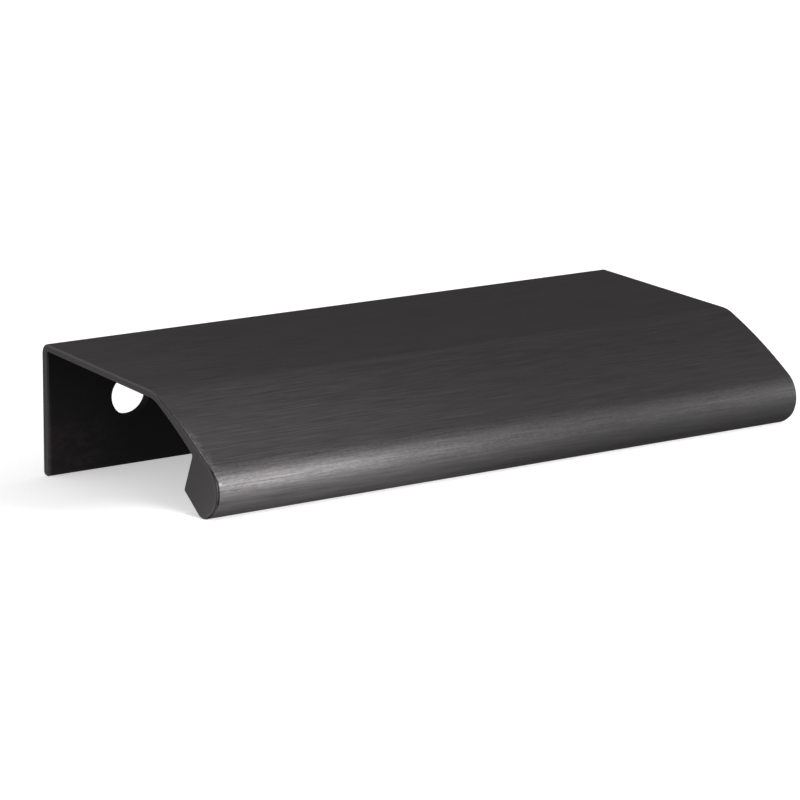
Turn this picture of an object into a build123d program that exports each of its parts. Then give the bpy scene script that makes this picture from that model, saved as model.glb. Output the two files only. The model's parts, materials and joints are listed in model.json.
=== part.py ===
# Edge pull for a cabinet door or drawer front: one length of extruded aluminium, 1 solid, in millimetres.
# The section is drawn with the flange upright. "out" is measured from the flange's back face towards
# the front, and "down" from the top of the plate. Angles are measured from level.
from build123d import *
from math import asin, atan2, cos, degrees, hypot, radians, sin, tan
import os

# the length of stock
pull_length = 80.0
end_rounding = 0.2         # edges of the two sawn ends

# the flange, which goes behind the door
flange_height = 15.9       # top of the plate to the flange's toe
flange_wall = 1.3
toe_radius = 0.5

# the two screw holes through the flange
screw_hole_diameter = 5.0
screw_hole_inset = 10.9    # from each end of the stock
screw_hole_drop = 7.4      # from the top of the plate

# the plate, which lies over the door's edge
plate_depth = 26.4         # flange's back face to where the plate starts to fall
plate_wall = 0.9
back_radius = 1.3          # outer corner between flange and plate
inner_radius = 0.2         # inner corner, where the door's edge seats
bend_radius = 5.3

# the falling front, slightly crowned: a shallow run, then a steeper one
upper_fall = 20.7
upper_run = 7.4
lower_fall = 30.5
lower_run = 10.8           # to the sharp corner that the nose is rounded from
inner_upper_fall = 23.2
inner_lower_fall = 30.2
inner_lower_run = 4.9
crown_share = 0.92         # how much of the free run the crown's arc takes up

# the lip
nose_radius = 3.25
nose_under_fall = 36.0     # falls back from the nose
nose_under_run = 6.9
chin_radius = 1.8
bottom_rise = 33.0         # rises from the chin to the heel
bottom_run = 4.85
heel_radius = 0.3
grip_rise = 67.2           # the finger face, which rises from the heel to the neck
grip_run = 4.7
neck_radius = 0.25


# a point's neighbour along the section, in (out, down)
def step(point, heading, run):
    out, down = point
    return (out + run * cos(radians(heading)), down + run * sin(radians(heading)))


# the centre of the arc that rounds a corner of the section
def arc_centre(before, corner, after, radius):
    first = Vector(before[0] - corner[0], before[1] - corner[1]).normalized()
    second = Vector(after[0] - corner[0], after[1] - corner[1]).normalized()
    half_angle = radians(first.get_angle(second)) / 2
    to_centre = (first + second).normalized() * (radius / sin(half_angle))
    return (corner[0] + to_centre.X, corner[1] + to_centre.Y)


# how far an arc reaches along each of the two runs that it joins
def tangent_length(radius, turn):
    return radius * tan(radians(turn) / 2)


# the section's corners before rounding, from the back over the top to the lip and back inside
back_corner = (0.0, 0.0)
plate_edge = (plate_depth, 0.0)
crown = step(plate_edge, upper_fall, upper_run)
nose = step(crown, lower_fall, lower_run)
chin = step(nose, 180 - nose_under_fall, nose_under_run)
heel = step(chin, 180 + bottom_rise, bottom_run)
neck = step(heel, -grip_rise, grip_run)
inner_crown = step(neck, 180 + inner_lower_fall, inner_lower_run)
inner_upper_run = (inner_crown[1] - plate_wall) / sin(radians(inner_upper_fall))
inner_plate_edge = step(inner_crown, 180 + inner_upper_fall, inner_upper_run)
inner_corner = (flange_wall, plate_wall)
toe_front = (flange_wall, flange_height)
toe_back = (0.0, flange_height)

# the crown's arcs are as large as their shorter runs allow
crown_turn = lower_fall - upper_fall
nose_turn = 180 - nose_under_fall - lower_fall
free_run = min(upper_run - tangent_length(bend_radius, upper_fall),
               lower_run - tangent_length(nose_radius, nose_turn))
crown_radius = crown_share * free_run / tangent_length(1.0, crown_turn)
inner_crown_turn = inner_lower_fall - inner_upper_fall
inner_bend_radius = bend_radius - plate_wall
inner_free_run = min(inner_upper_run - tangent_length(inner_bend_radius, inner_upper_fall),
                     inner_lower_run - neck_radius)
inner_crown_radius = crown_share * inner_free_run / tangent_length(1.0, inner_crown_turn)

outline = [
    (back_corner, back_radius),
    (plate_edge, bend_radius),
    (crown, crown_radius),
    (nose, nose_radius),
    (chin, chin_radius),
    (heel, heel_radius),
    (neck, neck_radius),
    (inner_crown, inner_crown_radius),
    (inner_plate_edge, inner_bend_radius),
    (inner_corner, inner_radius),
    (toe_front, toe_radius),
    (toe_back, toe_radius),
]

# the stock: the section run along X, with +Y to the back and +Z up
points = [(-out, -down) for (out, down), radius in outline]
radii = [radius for corner, radius in outline]
section = make_face(FilletPolyline(*points, radius=radii, close=True))
pull = extrude(Plane.YZ * section, amount=pull_length / 2, both=True)

# the sawn ends' edges are broken before the holes are drilled
ends = pull.faces().filter_by(Axis.X).sort_by(Axis.X)
pull = fillet(ends[0].edges() + ends[-1].edges(), end_rounding)

# the screw holes, drilled square through the flange
for side in (-1, 1):
    hole_x = side * (pull_length / 2 - screw_hole_inset)
    drill = Cylinder(screw_hole_diameter / 2, 3 * flange_wall, rotation=(90, 0, 0))
    pull -= Pos(hole_x, -flange_wall / 2, -screw_hole_drop) * drill

# unheld, the pull tips forwards until the toe and the chin both touch the floor
toe_centre = (flange_wall - toe_radius, flange_height - toe_radius)
chin_centre = arc_centre(nose, chin, heel, chin_radius)
toe_to_chin = hypot(chin_centre[0] - toe_centre[0], chin_centre[1] - toe_centre[1])
lean = degrees(atan2(toe_centre[1] - chin_centre[1], chin_centre[0] - toe_centre[0])
               + asin((toe_radius - chin_radius) / toe_to_chin))
pull = Rot(X=lean) * pull
box = pull.bounding_box()
floor_centre = (box.center().X, box.center().Y, box.min.Z)
pull = Pos(-floor_centre[0], -floor_centre[1], -floor_centre[2]) * pull

os.makedirs("parts", exist_ok=True)
export_step(pull, "parts/edge_pull.step")
print(f"lean {lean:.2f} degrees, reach {-section.bounding_box().min.X:.2f} mm, size {box.size}")
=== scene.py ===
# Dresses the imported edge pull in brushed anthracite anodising, on a plain pale floor.
import json
import math

import bpy
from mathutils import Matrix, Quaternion, Vector


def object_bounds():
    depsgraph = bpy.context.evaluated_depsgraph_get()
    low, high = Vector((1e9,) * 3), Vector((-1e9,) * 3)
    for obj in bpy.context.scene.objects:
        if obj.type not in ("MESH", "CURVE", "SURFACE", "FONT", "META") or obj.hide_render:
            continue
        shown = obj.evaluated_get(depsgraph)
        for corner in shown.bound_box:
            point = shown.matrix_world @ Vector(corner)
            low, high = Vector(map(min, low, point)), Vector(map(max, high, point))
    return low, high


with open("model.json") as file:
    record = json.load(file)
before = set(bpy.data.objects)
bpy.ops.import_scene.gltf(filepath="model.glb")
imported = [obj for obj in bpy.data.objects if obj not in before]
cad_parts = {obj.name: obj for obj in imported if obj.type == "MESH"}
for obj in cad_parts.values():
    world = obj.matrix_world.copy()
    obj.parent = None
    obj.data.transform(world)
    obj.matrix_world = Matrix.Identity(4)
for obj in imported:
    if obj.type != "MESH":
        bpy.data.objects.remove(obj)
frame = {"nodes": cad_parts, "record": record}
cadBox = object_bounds()
pull = frame["nodes"]["edge_pull"]
print("loaded the frame")

mmPerMetre = 1000.0
noiseMiddle = 0.5                              # noise lies evenly about this
white = (1.0, 1.0, 1.0, 1.0)


# wraps a socket, so that shader maths reads as plain expressions
class Wire:
    def __init__(self, nodes, socket):
        self.nodes = nodes
        self.socket = socket

    def math(self, operation, *others):
        return self.nodes.add("ShaderNodeMath", {"operation": operation}, [self, *others])

    def __add__(self, other):
        return self.math("ADD", other)

    def __radd__(self, other):
        return self.math("ADD", other)

    def __sub__(self, other):
        return self.math("SUBTRACT", other)

    def __rsub__(self, other):
        return self.nodes.add("ShaderNodeMath", {"operation": "SUBTRACT"}, [other, self])

    def __mul__(self, other):
        return self.math("MULTIPLY", other)

    def __rmul__(self, other):
        return self.math("MULTIPLY", other)


# the nodes of one material or world
class Nodes:
    def __init__(self, owner):
        owner.use_nodes = True
        self.tree = owner.node_tree
        self.tree.nodes.clear()

    # settings come first, because some of them change which sockets a node has
    def add(self, kind, settings=None, inputs=None, output=0):
        node = self.tree.nodes.new(kind)
        for name, value in (settings or {}).items():
            setattr(node, name, value)
        pairs = enumerate(inputs) if isinstance(inputs, list) else (inputs or {}).items()
        for name, value in pairs:
            if isinstance(value, Wire):
                self.tree.links.new(value.socket, node.inputs[name])
            else:
                node.inputs[name].default_value = value
        return Wire(self, node.outputs[output]) if node.outputs else node

    # how far a value is past one edge on the way to the other, from 0 to 1, eased
    def between(self, value, low, high):
        return self.add("ShaderNodeMapRange", {"interpolation_type": "SMOOTHSTEP"},
                        {"Value": value, "From Min": low, "From Max": high, "To Min": 0.0, "To Max": 1.0})

    # three-dimensional noise, stretched by what its point is multiplied by
    def grain(self, point, stretch, detail, roughness=0.5, colour=False):
        stretched = self.vector("MULTIPLY", point, stretch)
        return self.add("ShaderNodeTexNoise", {"noise_dimensions": "3D"},
                        {"Vector": stretched, "Scale": 1.0, "Detail": detail, "Roughness": roughness},
                        output=1 if colour else 0)

    def vector(self, operation, *vectors, scale=None):
        inputs = dict(enumerate(vectors))
        if scale is not None:
            inputs["Scale"] = scale
        output = "Value" if operation in ("DISTANCE", "DOT_PRODUCT") else "Vector"
        return self.add("ShaderNodeVectorMath", {"operation": operation}, inputs, output=output)

    def part(self, vector, axis):
        return self.add("ShaderNodeSeparateXYZ", None, [vector], output=axis)

    # colours are given without their alpha, and the mix node keeps its colour sockets at 6 and 7
    def mixColours(self, amount, first, second):
        first, second = [shade if isinstance(shade, Wire) else (*shade, 1.0) for shade in (first, second)]
        return self.add("ShaderNodeMix", {"data_type": "RGBA"}, {0: amount, 6: first, 7: second}, output=2)

    # 1 where a thing is seen, also in the metal or through the holes, and 0 where it only gives light
    def seen(self):
        kinds = ("Camera", "Glossy", "Transmission")
        rays = [self.add("ShaderNodeLightPath", output=f"Is {kind} Ray") for kind in kinds]
        return rays[0].math("MAXIMUM", rays[1]).math("MAXIMUM", rays[2])


camera = {
    "lens": 152.73,                            # mm, as the sensor's width is
    "sensor": 36.0,
    "clip": (0.01, 20.0),
    "distance": 0.40021,
    "target": (-0.00186, 0.00204, 0.00596),
    "azimuth": -32.63,                         # the camera stands to the left of straight ahead
    "elevation": 9.26,
    "roll": -2.856,
}


def placeCamera(settings):
    data = bpy.data.cameras.new("camera")
    data.lens = settings["lens"]
    data.sensor_width = settings["sensor"]
    data.clip_start, data.clip_end = settings["clip"]
    eye = bpy.data.objects.new("camera", data)
    azimuth = math.radians(settings["azimuth"])
    elevation = math.radians(settings["elevation"])
    back = Vector((math.sin(azimuth) * math.cos(elevation),
                   -math.cos(azimuth) * math.cos(elevation),
                   math.sin(elevation)))
    eye.location = Vector(settings["target"]) + back * settings["distance"]
    level = (-back).to_track_quat("-Z", "Y")
    eye.rotation_mode = "QUATERNION"
    eye.rotation_quaternion = level @ Quaternion((0.0, 0.0, 1.0), math.radians(settings["roll"]))
    bpy.context.scene.collection.objects.link(eye)
    bpy.context.scene.camera = eye


placeCamera(camera)
print("placed the camera")


floorLook = {
    "size": 6.0,
    "shade": 0.80,
    "lift": 0.45,                              # glow, where the camera or the metal sees the floor
}


def layFloor(settings):
    half = settings["size"] / 2
    corners = [(-half, -half, 0.0), (half, -half, 0.0), (half, half, 0.0), (-half, half, 0.0)]
    mesh = bpy.data.meshes.new("floor")
    mesh.from_pydata(corners, [], [(0, 1, 2, 3)])
    floor = bpy.data.objects.new("floor", mesh)
    bpy.context.scene.collection.objects.link(floor)
    material = bpy.data.materials.new("paleFloor")
    nodes = Nodes(material)
    shade = settings["shade"]
    lift = nodes.seen() * settings["lift"]
    plain = nodes.add("ShaderNodeBsdfDiffuse", None, {"Color": (shade, shade, shade, 1.0)})
    glow = nodes.add("ShaderNodeEmission", None, {"Color": white, "Strength": lift})
    both = nodes.add("ShaderNodeAddShader", None, [plain, glow])
    nodes.add("ShaderNodeOutputMaterial", None, {"Surface": both})
    mesh.materials.append(material)


layFloor(floorLook)
print("laid the floor")


# each lamp hangs at a distance from the place that it is aimed at, in metres. The key and high lamps make
# the left half of the nose's highlight and the side lamp the right half. The low lamp lights the floor there
studio = {
    "surround": 0.75,                          # the even light from all round
    "lamps": {
        "keyLamp": {"aim": (-0.045, -0.020, 0.004), "way": (0.486, -0.85, 0.09), "distance": 0.24,
                    "size": (0.05, 0.05), "power": 0.09, "spread": 120.0},
        "highLamp": {"aim": (-0.045, -0.020, 0.004), "way": (0.486, -0.82, 0.22), "distance": 0.24,
                     "size": (0.05, 0.05), "power": 0.195, "spread": 120.0},
        "sideLamp": {"aim": (0.024, -0.020, 0.004), "way": (0.75, -0.55, 0.20), "distance": 0.50,
                     "size": (0.20, 0.20), "power": 0.66, "spread": 100.0},
        "lowLamp": {"aim": (-0.035, -0.060, 0.0), "way": (0.0, 0.0, 1.0), "distance": 0.10,
                    "size": (0.04, 0.04), "power": 0.075, "spread": 50.0},
    },
}


def hangLamp(name, lamp):
    data = bpy.data.lights.new(name, "AREA")
    data.shape = "RECTANGLE"
    data.size, data.size_y = lamp["size"]
    data.energy = lamp["power"]
    data.spread = math.radians(lamp["spread"])
    hung = bpy.data.objects.new(name, data)
    toLamp = Vector(lamp["way"]).normalized()
    hung.location = Vector(lamp["aim"]) + toLamp * lamp["distance"]
    hung.rotation_mode = "QUATERNION"
    hung.rotation_quaternion = toLamp.to_track_quat("Z", "Y")
    hung.visible_camera = False
    bpy.context.scene.collection.objects.link(hung)


# the surround is white where it is seen, and a little darker where it only gives light
def lightStudio(settings):
    world = bpy.data.worlds.new("studio")
    bpy.context.scene.world = world
    nodes = Nodes(world)
    strength = settings["surround"] + nodes.seen() * (1.0 - settings["surround"])
    sky = nodes.add("ShaderNodeBackground", None, {"Color": white, "Strength": strength})
    nodes.add("ShaderNodeOutputWorld", None, {"Surface": sky})
    for name, lamp in settings["lamps"].items():
        hangLamp(name, lamp)
    bpy.context.scene.view_settings.view_transform = "Standard"


lightStudio(studio)
print("lit the studio")


halfLength = cadBox[1].x * mmPerMetre

# a zone starts with its strength, and each limit after that names a measure, with the two values between
# which the zone fades in. Along, depth and height are in mm in the pull's own frame, where the left end and
# the lip are on the negative side. Endward is 0 on the faces along the stock and 1 on its ends, edgeward is
# the same with a wider edge on the front, and outward is how far a face looks away from the hollow's middle
anodising = {
    "shades": {
        "metal": (0.0363, 0.0344, 0.0354),
        "nose": (0.0363, 0.0351, 0.0357),      # rubbed a little more neutral
        "mouth": (0.0295, 0.0282, 0.0288),     # faces that look into the hollow aren't brushed, and get painted light by the open ends
        "paintedDeepShade": (0.0195, 0.0188, 0.0191),      # painted shade: darker away from the open ends, and on the holes' walls
        "smudge": (0.0440, 0.0350, 0.0370),
        "end": (0.0905, 0.0868, 0.0885),       # the sawn ends are paler and duller
        "arrisHighlight": (0.106, 0.102, 0.104),        # and their outer edges paler still, with a painted highlight
        "frontArris": (0.042, 0.040, 0.041),   # the painted highlight is left off the front
        # the colour of a painted glint by the nose's left end
        "paintedGlint": (0.062, 0.060, 0.061),
    },
    "gloss": {
        "roughness": 0.42,
        "hollowRoughness": 0.45,
        "endRoughness": 0.50,
        "anisotropy": 0.85,                    # brushed metal spreads a highlight across its lines
        "anisotropyTurn": 0.25,                # of a full turn
        "edgeTint": 0.36,                      # how much the metal brightens at a low angle
    },
    "hollowMiddle": (0.0, 2.0, 6.0),
    "lines": {                                 # length and width in mm
        "fine": (4.2, 0.16),
        "mid": (9.0, 0.30),
        "wide": (22.0, 1.1),
        "scratch": (12.0, 0.16),
        "speckle": (0.50, 0.14),
    },
    "wander": 0.08,                            # how far the lines stray sideways
    "toneWeights": {"fine": 0.50, "mid": 0.20, "wide": 0.12, "scratch": 0.14, "speckle": 0.06},
    "reliefWeights": {"fine": 1.0, "mid": 1.2},
    "reliefDepth": 0.000009,                   # m
    "lineDetail": 1.0,
    "noises": {                                # stretch per mm, detail and, for the rougher ones, roughness
        "drift": ((0.05, 0.12, 0.12), 1.0),
        "mottle": ((0.5, 0.9, 0.9), 3.0),
        "smudge": ((0.30, 0.30, 0.55), 4.0, 0.65),
        "fleck": ((1.3, 1.3, 2.0), 4.0, 0.65),
        "wornSpot": ((1.3, 1.3, 2.6), 2.0),
    },
    "cuts": {                                  # between which values a noise turns from none to full
        "scratch": (0.16, 0.26),
        "smudge": (0.38, 0.62),
        "fleck": (0.40, 0.60),
        "wornSpot": (0.40, 0.62),
    },
    "fleckShare": 0.85,                        # how much of a smudge is broken up into flecks
    "zones": {
        "outer": (1.0, ("outward", -0.5, 0.5)),
        "end": (1.0, ("endward", 0.25, 0.50)),
        "arrisHighlight": (1.0, ("edgeward", 0.20, 0.40), ("endward", 0.99, 0.85)),
        "earlierArris": (0.18, ("depth", -6.0, -9.5)),
        "front": (1.0, ("depth", -6.0, -9.5)),
        "nose": (1.0, ("depth", -18.2, -19.4)),
        # the brushing is rougher to the left, calmer on the plate and speckled in the nose's highlight
        "rougher": (0.6, ("along", 14.0, -38.0)),
        "calmer": (-0.12, ("depth", -8.5, -5.0)),
        "speckled": (0.42, ("height", 2.4, 3.4), ("height", 6.6, 5.6)),
        "relief": (1.0, ("fromEnd", 0.25, 0.7)),
        "lowerRelief": (-0.6, ("depth", -15.5, -18.5)),
        # painted light: paler where the bend starts, and to the left on the front, the plate and the chin
        "paintedLightBend": (0.16, ("depth", -6.2, -7.3), ("depth", -8.8, -7.7)),
        "paintedLightFront": (0.14, ("along", 6.0, -44.0), ("depth", -7.3, -9.8), ("height", 6.0, 8.6)),
        "paintedLightPlate": (0.12, ("along", -22.0, -41.0), ("depth", -8.5, -6.5)),
        "paintedReflectionChin": (0.36, ("along", 4.0, -16.0), ("depth", -15.5, -18.5), ("height", 1.9, 0.7)),
        # painted light: the hollow is paler by the open ends, and most of all at their edges, where one
        # limit stands twice, so that it fades fast. Painted shade makes it darker higher up
        "mouth": (1.0, ("fromEnd", 12.0, 0.0), ("height", 20.0, 5.0)),
        "smudged": (1.0, ("fromEnd", 12.0, 2.0), ("height", 10.5, 5.5)),
        "paintedLightEdge": (1.6, ("fromEnd", 0.75, 0.0), ("fromEnd", 0.75, 0.0), ("height", 18.0, 6.0)),
        "lessPaintedLight": (-0.7, ("endward", 0.05, 0.40)),  # where the edge turns towards the end
        "hollowEnd": (1.0, ("endward", 0.90, 0.999)),
        # the left end of the lip: worn spots, and painted shade on the rim and in a dark line round the
        # nose, which swerves inwards below the kink
        "worn": (0.6, ("fromLeft", 1.5, 0.2), ("depth", -13.2, -15.0), ("height", 4.8, 6.0),
                 ("endward", 0.30, 0.05)),
        "shadeLineKink": (0.22, ("height", 5.3, 4.2)),
        "paintedShadeRim": (-0.6, ("depth", -16.3, -17.3), ("fromShadeLine", 0.09, 0.04), ("endward", 0.7, 0.3)),
        "paintedShadeLine": (-0.85, ("depth", -16.3, -17.3), ("fromShadeLine", 0.04, 0.09), ("fromShadeLine", 0.29, 0.24),
                    ("height", 1.0, 2.2), ("height", 7.2, 5.0)),
    },
    # where the painted glint sits on the nose, by the left end
    "paintedGlint": {"fromLeft": 0.66, "depth": -20.25, "height": 4.14, "radius": 0.26},
    "boreMargin": (0.06, 0.02),                # beyond a hole's wall, where its painted shade starts and is full
    "grainSpace": {"place": (0.0, -50.0, 0.0), "size": (1.0, 1.0, 1.0)},
}


# where a point of the metal lies, in mm, and which way its face looks
class Spot:
    def __init__(self, nodes, settings):
        self.nodes = nodes
        self.settings = settings
        facing = nodes.add("ShaderNodeTexCoord", output="Normal")
        place = nodes.add("ShaderNodeTexCoord", output="Object")
        self.point = nodes.vector("SCALE", place, scale=mmPerMetre)
        along = nodes.part(self.point, "X")
        endward = nodes.part(facing, "X").math("ABSOLUTE")
        # outer faces look away from the middle of the hollow, inner ones towards it
        fromMiddle = nodes.vector("SUBTRACT", self.point, settings["hollowMiddle"])
        flat = nodes.vector("MULTIPLY", fromMiddle, (0.0, 1.0, 1.0))
        self.measures = {
            "along": along,
            "depth": nodes.part(self.point, "Y"),
            "height": nodes.part(self.point, "Z"),
            "fromEnd": halfLength - along.math("ABSOLUTE"),
            "fromLeft": along + halfLength,
            "endward": endward,
            "outward": nodes.vector("DOT_PRODUCT", facing, flat),
        }
        self.measures["edgeward"] = endward + self.zone("earlierArris")
        self.measures["fromShadeLine"] = self.measures["fromLeft"] - self.zone("shadeLineKink")
        self.outer = self.zone("outer")
        self.inner = 1.0 - self.outer
        self.end = self.zone("end")
        self.brushed = self.outer * (1.0 - self.end)
        self.rougher = 1.0 + self.zone("rougher")

    # a zone's limits are multiplied
    def zone(self, name):
        mask, *limits = self.settings["zones"][name]
        for measure, start, full in limits:
            mask = self.nodes.between(self.measures[measure], start, full) * mask
        return mask

    def noise(self, name, colour=False):
        return self.nodes.grain(self.point, *self.settings["noises"][name], colour=colour)

    # where a noise is high enough to show
    def patches(self, name):
        return self.nodes.between(self.noise(name), *self.settings["cuts"][name])


# brush lines run along the stock and stray a little, and each kind lies evenly about 0
def brushLines(nodes, spot, settings):
    astray = nodes.vector("SUBTRACT", spot.noise("drift", colour=True), (noiseMiddle,) * 3)
    astray = nodes.vector("SCALE", astray, scale=settings["wander"] / noiseMiddle)
    strayed = nodes.vector("ADD", spot.point, astray)
    lines = {}
    for name, (length, width) in settings["lines"].items():
        stretch = (1 / length, 1 / width, 1 / width)
        lines[name] = nodes.grain(strayed, stretch, settings["lineDetail"]) - noiseMiddle
    return lines


# how much paler or darker than plain the brushing makes the metal, with painted light on bend, front, plate
# and chin
def brushedTone(nodes, spot, lines, settings):
    weights = settings["toneWeights"]
    scratches = nodes.between(lines["scratch"], *settings["cuts"]["scratch"])
    worked = lines["fine"] * weights["fine"] + lines["mid"] * weights["mid"]
    worked = worked + scratches * weights["scratch"]
    worked = worked + lines["speckle"] * (weights["speckle"] + spot.zone("speckled"))
    worked = worked * spot.rougher * (1.0 + spot.zone("calmer"))
    mottle = spot.noise("mottle") + (1.0 - noiseMiddle)
    # painted light on the bend, the left front and the left plate, and a painted reflection on the chin
    paintedLight = spot.zone("paintedLightBend") + spot.zone("paintedLightFront") * mottle + spot.zone("paintedLightPlate")
    return 1.0 + spot.brushed * (worked + lines["wide"] * weights["wide"] + paintedLight) + spot.zone("paintedReflectionChin")


# the hollow's faces are dark, with painted shade deep inside and painted light and smudges by the open ends
def hollowShade(nodes, spot, settings):
    shades = settings["shades"]
    share = settings["fleckShare"]
    broken = 1.0 - share + spot.patches("fleck") * share
    smudges = spot.patches("smudge") * broken * spot.zone("smudged")
    # painted shade deep in the hollow, painted light by the open ends
    shade = nodes.mixColours(spot.zone("mouth"), shades["paintedDeepShade"], shades["mouth"])
    shade = nodes.mixColours(smudges, shade, shades["smudge"])
    # painted light along the edges of the open ends
    paintedLightEdge = spot.zone("paintedLightEdge") * (1.0 + spot.zone("lessPaintedLight"))
    shade = nodes.vector("SCALE", shade, scale=1.0 + paintedLightEdge)
    return nodes.mixColours(spot.zone("hollowEnd"), shade, shades["end"])


# painted shade: the walls of the drilled holes get the hollow's deep shade
def paintHoleWallShade(nodes, spot, shade, settings):
    start, full = settings["boreMargin"]
    for mount in frame["record"]["mounts"]:
        if mount["kind"] == "bore":
            middle = [part * mmPerMetre for part in mount["pos_m"]]
            reach = math.hypot(mount["dims"]["r_mm"], mount["dims"]["length_mm"] / 2)
            fromMiddle = nodes.vector("DISTANCE", spot.point, middle)
            wall = nodes.between(fromMiddle, reach + start, reach + full)
            shade = nodes.mixColours(wall, shade, settings["shades"]["paintedDeepShade"])
    return shade


# the left end: worn spots above the nose, painted shade on the rim and in a dark line, and a painted glint
def markLeftEnd(nodes, spot, shade, settings):
    worn = spot.zone("worn") * spot.patches("wornSpot")
    # worn spots, then painted shade on the rim and in the dark line
    for mark in (worn, spot.zone("paintedShadeRim"), spot.zone("paintedShadeLine")):
        shade = nodes.vector("SCALE", shade, scale=1.0 + mark * spot.outer)
    # a painted glint by the left end of the nose
    paintedGlint = settings["paintedGlint"]
    place = (paintedGlint["fromLeft"] - halfLength, paintedGlint["depth"], paintedGlint["height"])
    fromGlint = nodes.vector("DISTANCE", spot.point, place)
    glinted = nodes.between(fromGlint, paintedGlint["radius"], paintedGlint["radius"] / 2)
    return nodes.mixColours(glinted, shade, settings["shades"]["paintedGlint"])


def brushedAnodising(settings):
    material = bpy.data.materials.new("brushedAnodising")
    nodes = Nodes(material)
    spot = Spot(nodes, settings)
    lines = brushLines(nodes, spot, settings)

    shades = settings["shades"]
    shade = nodes.mixColours(spot.zone("nose"), shades["metal"], shades["nose"])
    shade = nodes.vector("SCALE", shade, scale=brushedTone(nodes, spot, lines, settings))
    shade = nodes.mixColours(spot.end, shade, shades["end"])
    # painted highlight along the rounded outer edges of the ends, left off the front
    arrisHighlightShade = nodes.mixColours(spot.zone("front"), shades["arrisHighlight"], shades["frontArris"])
    shade = nodes.mixColours(spot.zone("arrisHighlight") * spot.outer, shade, arrisHighlightShade)
    shade = nodes.mixColours(spot.inner, shade, hollowShade(nodes, spot, settings))
    shade = paintHoleWallShade(nodes, spot, shade, settings)
    shade = markLeftEnd(nodes, spot, shade, settings)

    gloss = settings["gloss"]
    roughness = gloss["roughness"] + spot.inner * (gloss["hollowRoughness"] - gloss["roughness"])
    roughness = roughness + spot.end * (gloss["endRoughness"] - gloss["roughness"])
    weights = settings["reliefWeights"]
    relief = lines["fine"] * weights["fine"] + lines["mid"] * weights["mid"]
    relief = relief * spot.brushed * spot.rougher * (1.0 + spot.zone("lowerRelief")) * spot.zone("relief")
    bump = nodes.add("ShaderNodeBump", None,
                     {"Strength": 1.0, "Distance": settings["reliefDepth"], "Height": relief})
    tint = gloss["edgeTint"]
    metal = nodes.add("ShaderNodeBsdfPrincipled", None, {
        "Base Color": shade,
        "Metallic": 1.0,
        "Roughness": roughness,
        "Anisotropic": gloss["anisotropy"],
        "Anisotropic Rotation": gloss["anisotropyTurn"],
        "Specular Tint": (tint, tint, tint, 1.0),
        "Normal": bump,
    })
    nodes.add("ShaderNodeOutputMaterial", None, {"Surface": metal})
    return material


# with its texture space far in front, the metal's grain runs the same way all over, along the stock
def dressPull(settings):
    space = settings["grainSpace"]
    pull.data.use_auto_texspace = False
    pull.data.texspace_location = space["place"]
    pull.data.texspace_size = space["size"]
    pull.data.materials.clear()
    pull.data.materials.append(brushedAnodising(settings))


dressPull(anodising)
print("finished the metal")
